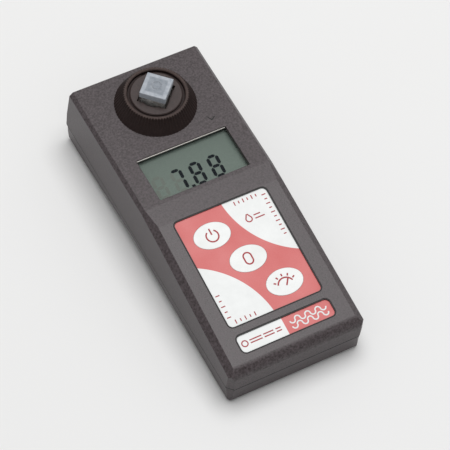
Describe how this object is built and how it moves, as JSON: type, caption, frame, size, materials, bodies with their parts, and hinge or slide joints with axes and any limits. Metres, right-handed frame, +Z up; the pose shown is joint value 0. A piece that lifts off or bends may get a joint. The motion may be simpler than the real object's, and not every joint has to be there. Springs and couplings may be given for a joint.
{
  "type": "digital water tester",
  "caption": "Handheld photometer for pool water: two-part case, recessed display, sloped keypad with oval keys, toothed collar round a square sample well with a lift-out cuvette.",
  "frame": {"origin": "middle of the base, where the case stands", "axes": "+Z up, +Y along the case towards the head with the sample well, +X to the right of the keypad"},
  "size_m": [0.0748, 0.176, 0.0524],
  "materials": {
    "case": "fine moulded texture, charcoal",
    "collar": "black moulded, toothed grip",
    "well": "dark moulded",
    "overlay": "printed membrane, coral band between white fields",
    "key": "white printed domed key",
    "label": "printed plate",
    "lens": "clear window",
    "display": "grey green display glass",
    "frame": "black moulded frame",
    "strip": "layered contact rubber",
    "board": "green solder resist",
    "chip": "black package",
    "dome": "stamped spring dome",
    "steel": "zinc plated screw",
    "seal": "black seal",
    "film": "amber flexible circuit",
    "cell_clear": "clear moulded cuvette",
    "cap": "pale grey moulded lid",
    "block": "black light-tight moulding",
    "lamp": "clear lamp body",
    "filter": "green filter glass",
    "can": "plated can",
    "tray": "black moulded tray",
    "contact": "nickel plated contact",
    "battery": "printed cell jacket"
  },
  "bodies": {
    "tester": {"upper_case": "case", "lower_case": "case", "case_gasket": "seal", "case_screws": "steel", "keypad_overlay": "overlay", "name_label": "label", "key_board": "board", "key_domes": "dome", "key_board_screws": "steel", "controller_chips": "chip", "display_lens": "lens", "display_glass": "display", "display_frame": "frame", "contact_strips": "strip", "display_board": "board", "display_board_screws": "steel", "board_link": "film", "well_insert": "well", "flange_seal": "seal", "collar_retainer": "collar", "collar_seal": "seal", "optical_block": "block", "light_source": "lamp", "optical_filter": "filter", "photodiode": "can", "block_screws": "steel", "sensor_lead": "film", "battery_tray": "tray", "battery_contacts": "contact", "contact_springs": "contact", "battery_1": "battery", "battery_2": "battery", "battery_3": "battery", "battery_4": "battery"},
    "key_on_off": {"key_on_off": "key"},
    "key_zero": {"key_zero": "key"},
    "key_read": {"key_read": "key"},
    "collar": {"knurled_collar": "collar"},
    "cuvette": {"cuvette_body": "cell_clear"},
    "cap": {"cuvette_cap": "cap"},
    "battery_door": {"battery_door": "case", "door_seal": "seal"},
    "door_screw": {"door_screw": "steel"}
  },
  "joints": [
    {"name": "key_on_off_press", "type": "slide", "parent": "tester", "child": "key_on_off", "axis": [0, 0.1519, -0.9884], "range_m": [0, 0.0004], "stiffness_N_per_m": 800, "springref_m": -0.0003},
    {"name": "key_zero_press", "type": "slide", "parent": "tester", "child": "key_zero", "axis": [0, 0.1519, -0.9884], "range_m": [0, 0.0004], "stiffness_N_per_m": 800, "springref_m": -0.0003},
    {"name": "key_read_press", "type": "slide", "parent": "tester", "child": "key_read", "axis": [0, 0.1519, -0.9884], "range_m": [0, 0.0004], "stiffness_N_per_m": 800, "springref_m": -0.0003},
    {"name": "collar_turn", "type": "hinge", "parent": "tester", "child": "collar", "pos_m": [0, 0.06265, 0.042], "axis": [0, 0, 1], "range_deg": [0, 60]},
    {"name": "cuvette_lift", "type": "slide", "parent": "tester", "child": "cuvette", "axis": [0, 0, 1], "range_m": [0, 0.055]},
    {"name": "cap_pull", "type": "slide", "parent": "cuvette", "child": "cap", "axis": [0, 0, 1], "range_m": [0, 0.012]},
    {"name": "door_lift", "type": "slide", "parent": "tester", "child": "battery_door", "axis": [0, 0.0556, -0.9985], "range_m": [0, 0.025]},
    {"name": "door_screw_turn", "type": "hinge", "parent": "battery_door", "child": "door_screw", "pos_m": [0, -0.06735, 0.00026], "axis": [0, -0.0556, 0.9985], "continuous": true}
  ]
}
